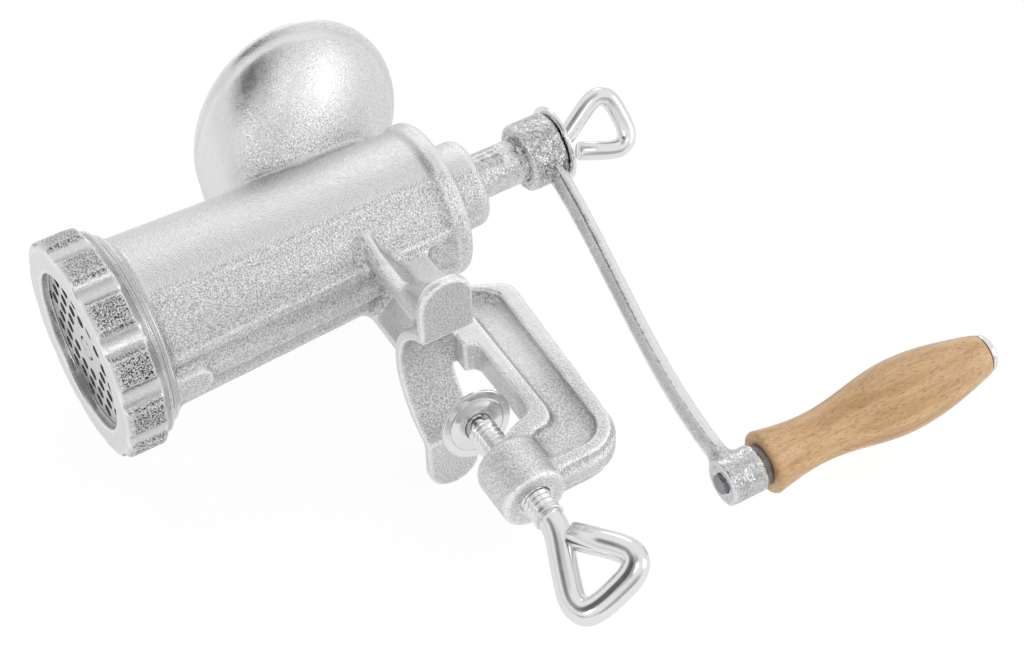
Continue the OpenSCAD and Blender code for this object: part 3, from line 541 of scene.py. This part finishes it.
def makePad(shape):
    tilt = math.radians(shape["tilt"])
    axes = axisFrame((0, 0, shape["height"]), (math.sin(tilt), 0, math.cos(tilt)), (math.cos(tilt), 0, -math.sin(tilt)))
    half, rise, radius = shape["sheet"] / 2, shape["rise"], shape["radius"]
    lower = [(shape["hole"], -half), (5.6, -half), (7.4, -half + 0.5), (9.4, rise - 2 * half - 0.15),
             (10.2, rise - 2 * half), (radius - 0.3, rise - 2 * half), (radius, rise - half)]
    upper = [(radius - 0.3, rise), (10.0, rise), (7.4, half + 0.6), (5.6, half), (shape["hole"], half)]
    return addMesh("clampPad", *skinRings(turnProfile(roundedProfile(lower + upper, 0.5), axes), False),
                   "pad", "swivel_pad")


washerShape = {"hole": 4.2, "radius": 14.2, "sheet": 1.6, "dish": 2.1}


def makeWasher(shape):
    low, high = hubEnd + 0.1, hubEnd + 0.1 + shape["dish"]
    hole, radius, sheet = shape["hole"], shape["radius"], shape["sheet"]
    outline = [(hole, high), (radius - 3, low), (radius, low), (radius, low + sheet), (radius - 3, low + sheet),
               (hole, high + sheet)]
    return addMesh("dishedWasher", *skinRings(turnProfile(roundedProfile(outline, 0.6), barrelAxis), False),
                   "dished_washer", "washer")


clampScrew = makeClampScrew(clampScrewShape)
thumbScrew = makeThumbScrew(thumbScrewShape)
grip = makeGrip(gripShape)
pad = makePad(padShape)
washer = makeWasher(washerShape)
print("turned and bent pieces made")


# materials, each from noise on object coordinates in metres
bodyLook = {
    "colour": (0.93, 0.93, 0.94), "roughness": 0.19, "grain": 0.58, "depth": 0.42, "wave": 0.25,
    # painted shade in the grain's pits, given as the light left there where the casting faces up, and where it faces
    # down
    "paintedPitShade": (0.95, 0.60),
    # share of the grain: quantity, the two values between which it changes, the share before and after them
    "shares": [("height", 102.0, 114.0, 1.0, 0.45), ("height", -30.0, -16.0, 0.95, 1.0)],
    # painted light in the same form: below a height of -36 the clamp is painted a little lighter
    "paintedLightAndShade": [("height", -36.0, -20.0, 1.03, 1.0)],
    # grain as strong, and pits as deep in painted shade, as on a face that looks down, in the same form
    "rough": [("height", -22.0, -6.0, 0.72, 0.0)],
    # the turned band: its two places along the barrel, the pitch and the depth of its rings
    "band": (-80.0, -76.6, 0.85, 0.25),
}
nutLook = {
    "colour": (0.92, 0.92, 0.93), "roughness": 0.16, "grain": 0.62, "depth": 0.62, "wave": 0.5,
    # painted shade in the pits, in the same form
    "paintedPitShade": (0.27, 0.03),
    # the bore and the flutes are smooth, the lobes rough, and the front face is turned
    "shares": [("distance", 37.8, 38.8, 0.15, 1.0), ("place", -97.3, -96.3, 0.05, 1.0)],
    # painted light and shade in the same form: the bore and the lobes are painted darker as shade
    "paintedLightAndShade": [("distance", 28.3, 28.9, 0.72, 1.0), ("distance", 37.8, 38.8, 1.0, 0.86)],
    "band": (-82.6, -80.0, 0.85, 0.25),
}
crankLook = {
    "colour": (0.93, 0.93, 0.94), "roughness": 0.15, "grain": 0.72, "depth": 0.32, "wave": 2.0,
    # painted shade in the pits, in the same form
    "paintedPitShade": (0.58, 0.50),
    # both ends are rougher than the arm between them
    "shares": [("distance", 15.5, 19.0, 1.0, 0.22), ("distance", 134.0, 138.0, 1.0, 3.2)],
    # painted light and shade in the same form: the hub, the shaft and the far boss are painted darker as shade
    "paintedLightAndShade": [("distance", 15.0, 24.0, 0.86, 1.0), ("distance", 134.0, 138.0, 1.0, 0.84),
               ("distance", 8.5, 10.5, 0.90, 1.0)],
}


def addSum(tree, operation, first, second):
    # a Math node on two sockets or numbers
    step = addNode(tree, "ShaderNodeMath", operation=operation)
    for value, socket in zip((first, second), step.inputs):
        if isinstance(value, (int, float)):
            socket.default_value = value
        else:
            tree.links.new(value, socket)
    return step.outputs["Value"]


def addProduct(tree, quantities, parts):
    # the product of ranges of the named quantities, given in millimetres
    product = 1.0
    for quantity, low, high, before, after in parts:
        part = addRange(tree, quantities[quantity], low * mm, high * mm, before, after)
        product = addSum(tree, "MULTIPLY", product, part)
    return product


def addPlaces(tree, where):
    # a place's height, its place along the barrel and its distance from the barrel's axis
    split = addNode(tree, "ShaderNodeSeparateXYZ")
    tree.links.new(where, split.inputs["Vector"])
    rise = addSum(tree, "SUBTRACT", split.outputs["Z"], axisHeight * mm)
    squares = addSum(tree, "ADD", addSum(tree, "MULTIPLY", rise, rise),
                     addSum(tree, "MULTIPLY", split.outputs["X"], split.outputs["X"]))
    return {"height": split.outputs["Z"], "place": split.outputs["Y"], "distance": addSum(tree, "POWER", squares, 0.5)}


def addBand(tree, place, look):
    # 1 in the turned band and 0 elsewhere
    low, high = (end * mm for end in look["band"][:2])
    band = addNode(tree, "ShaderNodeMath", operation="COMPARE")
    band.inputs[1].default_value = (low + high) / 2
    band.inputs[2].default_value = (high - low) / 2
    tree.links.new(place, band.inputs[0])
    return band.outputs["Value"]


def addCastIron(name, look):
    # tinned sand casting: bump of a fine grain over waves five times as broad, both depths in millimetres, and
    # pits painted darker than crests as shade in their hollows; this painted shade is deepest where the casting faces
    # down, convex edges take a painted highlight and inner creases a painted shade
    material = bpy.data.materials.new(name)
    material.use_nodes = True
    tree = material.node_tree
    link = tree.links.new
    shader = tree.nodes["Principled BSDF"]
    shader.inputs["Metallic"].default_value = 1.0
    coordinates = addNode(tree, "ShaderNodeTexCoord")
    where = coordinates.outputs["Object"]
    quantities = addPlaces(tree, where)
    share = addProduct(tree, quantities, look["shares"])
    if "band" in look:
        band = addBand(tree, quantities["place"], look)
        share = addSum(tree, "MULTIPLY", share, addSum(tree, "SUBTRACT", 1.0, band))
    facing = addNode(tree, "ShaderNodeSeparateXYZ")
    link(coordinates.outputs["Normal"], facing.inputs["Vector"])
    # faces that look down get the deepest painted pit shade, as well as the strongest bump
    down = addRange(tree, facing.outputs["Z"], -0.41, -0.49, 0.0, 1.0, True)
    if "rough" in look:
        down = addSum(tree, "MAXIMUM", down, addProduct(tree, quantities, look["rough"]))
    grain = addNode(tree, "ShaderNodeTexNoise", Scale=1000 / look["grain"], Detail=2.0, Roughness=0.6)
    broad = addNode(tree, "ShaderNodeTexNoise", Scale=200 / look["grain"], Detail=2.0)
    link(where, grain.inputs["Vector"])
    link(where, broad.inputs["Vector"])

    # shade = pit * depth of shade * share is painted shade in the pits, and light = 1 - shade, where a convex edge
    # takes part of the shade back and adds a painted highlight, and an inner crease adds a painted shade
    # painted shade in the grain's pits, deepest where the casting faces down
    pit = addRange(tree, grain.outputs["Fac"], 0.38, 0.56, 1.0, 0.0)
    up, under = look["paintedPitShade"]
    darkness = addRange(tree, down, 0.0, 1.0, 1.0 - up, 1.0 - under)
    shade = addSum(tree, "MULTIPLY", addSum(tree, "MULTIPLY", pit, darkness), share)
    # pointiness paints a highlight on convex edges and shade in inner creases
    edge = addNode(tree, "ShaderNodeNewGeometry").outputs["Pointiness"]
    shade = addSum(tree, "MULTIPLY", shade, addRange(tree, edge, 0.505, 0.53, 1.0, 0.25))
    light = addSum(tree, "SUBTRACT", addRange(tree, edge, 0.47, 0.53, 0.7, 1.12), shade)
    # the light is capped, then multiplied by the painted light and shade of the listed places
    light = addSum(tree, "MULTIPLY", addSum(tree, "MINIMUM", light, 1.06),
                   addProduct(tree, quantities, look.get("paintedLightAndShade", [])))
    tint = addNode(tree, "ShaderNodeVectorMath", operation="SCALE")
    tint.inputs[0].default_value = look["colour"]
    link(light, tint.inputs["Scale"])
    link(tint.outputs["Vector"], shader.inputs["Base Color"])

    wide = addNode(tree, "ShaderNodeBump", Distance=look["wave"] * mm)
    fine = addNode(tree, "ShaderNodeBump", Distance=look["depth"] * mm)
    link(broad.outputs["Fac"], wide.inputs["Height"])
    link(grain.outputs["Fac"], fine.inputs["Height"])
    link(wide.outputs["Normal"], fine.inputs["Normal"])
    strength = addSum(tree, "MULTIPLY", share, addRange(tree, down, 0.0, 1.0, 0.65, 1.0))
    link(strength, wide.inputs["Strength"])
    link(strength, fine.inputs["Strength"])
    normal = fine.outputs["Normal"]
    if "band" in look:
        pitch, depth = look["band"][2:]
        rings = addSum(tree, "SINE", addSum(tree, "MULTIPLY", quantities["place"], 2 * math.pi / (pitch * mm)), 0.0)
        ridge = addNode(tree, "ShaderNodeBump", Distance=depth * mm)
        link(rings, ridge.inputs["Height"])
        link(band, ridge.inputs["Strength"])
        link(normal, ridge.inputs["Normal"])
        normal = ridge.outputs["Normal"]
    link(normal, shader.inputs["Normal"])
    # places without grain are satin
    satin = addSum(tree, "MULTIPLY", addSum(tree, "SUBTRACT", 1.0, share), 0.13)
    gloss = addRange(tree, broad.outputs["Fac"], 0.3, 0.7, look["roughness"] - 0.05, look["roughness"] + 0.09)
    link(addSum(tree, "ADD", gloss, satin), shader.inputs["Roughness"])
    return material


def addSteel(name, look):
    # bright metal whose roughness varies over long fine streaks along one axis
    material = bpy.data.materials.new(name)
    material.use_nodes = True
    tree = material.node_tree
    link = tree.links.new
    shader = tree.nodes["Principled BSDF"]
    shader.inputs["Base Color"].default_value = (*look["colour"], 1)
    shader.inputs["Metallic"].default_value = 1.0
    where = addNode(tree, "ShaderNodeTexCoord").outputs["Object"]
    stretch = addNode(tree, "ShaderNodeMapping")
    stretch.inputs["Scale"].default_value = look["streaks"]
    streak = addNode(tree, "ShaderNodeTexNoise", Scale=1.0, Detail=3.0)
    bump = addNode(tree, "ShaderNodeBump", Distance=look["depth"] * mm)
    link(where, stretch.inputs["Vector"])
    link(stretch.outputs["Vector"], streak.inputs["Vector"])
    link(streak.outputs["Fac"], bump.inputs["Height"])
    link(bump.outputs["Normal"], shader.inputs["Normal"])
    link(addRange(tree, streak.outputs["Fac"], 0.3, 0.7, look["roughness"] - 0.04, look["roughness"] + 0.06),
         shader.inputs["Roughness"])
    return material


def addFibre(name, look):
    # dull brown fibre with a fine mottle
    material = bpy.data.materials.new(name)
    material.use_nodes = True
    tree = material.node_tree
    shader = tree.nodes["Principled BSDF"]
    shader.inputs["Roughness"].default_value = 0.7
    where = addNode(tree, "ShaderNodeTexCoord").outputs["Object"]
    mottle = addNode(tree, "ShaderNodeTexNoise", Scale=1500.0, Detail=3.0)
    shade = addNode(tree, "ShaderNodeValToRGB")
    shade.color_ramp.elements[0].color = (*look["dark"], 1)
    shade.color_ramp.elements[1].color = (*look["light"], 1)
    tree.links.new(where, mottle.inputs["Vector"])
    tree.links.new(mottle.outputs["Fac"], shade.inputs["Fac"])
    tree.links.new(shade.outputs["Color"], shader.inputs["Base Color"])
    return material


def addBeech(name, look):
    # lacquered beech along +Y: broad soft bands of light and dark wood, over them short dark flecks that lie
    # along the grain, which also dent the surface a little
    material = bpy.data.materials.new(name)
    material.use_nodes = True
    tree = material.node_tree
    link = tree.links.new
    shader = tree.nodes["Principled BSDF"]
    shader.inputs["Coat Weight"].default_value = 0.25
    shader.inputs["Coat Roughness"].default_value = 0.3
    where = addNode(tree, "ShaderNodeTexCoord").outputs["Object"]

    def grainNoise(across, along, detail):
        stretch = addNode(tree, "ShaderNodeMapping")
        stretch.inputs["Scale"].default_value = (1000 / across, 1000 / along, 1000 / across)
        noise = addNode(tree, "ShaderNodeTexNoise", Scale=1.0, Detail=detail)
        link(where, stretch.inputs["Vector"])
        link(stretch.outputs["Vector"], noise.inputs["Vector"])
        return noise.outputs["Fac"]

    bands = grainNoise(6.0, 60.0, 3.0)
    lines = grainNoise(1.1, 40.0, 2.0)
    flecks = grainNoise(0.42, 2.6, 1.0)
    wood = addNode(tree, "ShaderNodeValToRGB")
    for element, (place, colour) in zip((wood.color_ramp.elements[0], wood.color_ramp.elements[1]), look["wood"]):
        element.position = place
        element.color = (*colour, 1)
    tint = addNode(tree, "ShaderNodeMix", data_type="RGBA", blend_type="MULTIPLY")
    tint.inputs["B"].default_value = (*look["lineTint"], 1)
    spot = addNode(tree, "ShaderNodeMix", data_type="RGBA")
    spot.inputs["B"].default_value = (*look["fleck"], 1)
    link(bands, wood.inputs["Fac"])
    link(addRange(tree, lines, 0.45, 0.7, 0.0, 0.7), tint.inputs["Factor"])
    link(wood.outputs["Color"], tint.inputs["A"])
    fleckMask = addRange(tree, flecks, 0.56, 0.70, 0.0, 0.6)
    link(fleckMask, spot.inputs["Factor"])
    link(tint.outputs["Result"], spot.inputs["A"])
    link(spot.outputs["Result"], shader.inputs["Base Color"])
    bump = addNode(tree, "ShaderNodeBump", Distance=0.03 * mm, invert=True)
    link(fleckMask, bump.inputs["Height"])
    link(bump.outputs["Normal"], shader.inputs["Normal"])
    link(addRange(tree, bands, 0.3, 0.7, 0.36, 0.5), shader.inputs["Roughness"])
    return material


steelLook = {"colour": (0.70, 0.70, 0.72), "roughness": 0.22, "streaks": (900, 120, 900), "depth": 0.01}
plateLook = {"colour": (0.74, 0.74, 0.75), "roughness": 0.26, "streaks": (250, 900, 1500), "depth": 0.012}
polishedLook = {"colour": (0.88, 0.88, 0.89), "roughness": 0.15, "streaks": (700, 700, 90), "depth": 0.006}
darkSteelLook = {"colour": (0.30, 0.31, 0.33), "roughness": 0.35, "streaks": (300, 2500, 300), "depth": 0.03}
fibreLook = {"dark": (0.20, 0.08, 0.045), "light": (0.36, 0.16, 0.10)}
beechLook = {
    "wood": [(0.34, (0.90, 0.61, 0.335)), (0.68, (0.64, 0.375, 0.17))],
    "lineTint": (0.82, 0.72, 0.62),
    "fleck": (0.36, 0.17, 0.07),
}


def dress(material, *pieces):
    for piece in pieces:
        mesh = nodes[piece].data if isinstance(piece, str) else piece.data
        mesh.materials.clear()
        mesh.materials.append(material)


dress(addCastIron("tinnedBody", bodyLook), casting)
dress(addCastIron("tinnedNut", nutLook), nut)
dress(addCastIron("tinnedCrank", crankLook), crank, "worm")
dress(addSteel("drawnSteel", steelLook), "plate_key", "knife", "knife_stud", "pad_rivet")
dress(addSteel("groundPlate", plateLook), "plate")
dress(addSteel("polishedWire", polishedLook), clampScrew, thumbScrew, pad, washer, "grip_cap")
# the spindle's dark grey steel also stands for painted shade in the hole about its end
dress(addSteel("greySteel", darkSteelLook), "grip_collar", "spindle")
dress(addFibre("hardFibre", fibreLook), "thrust_washer")
dress(addBeech("beech", beechLook), grip)
print("all pieces dressed")
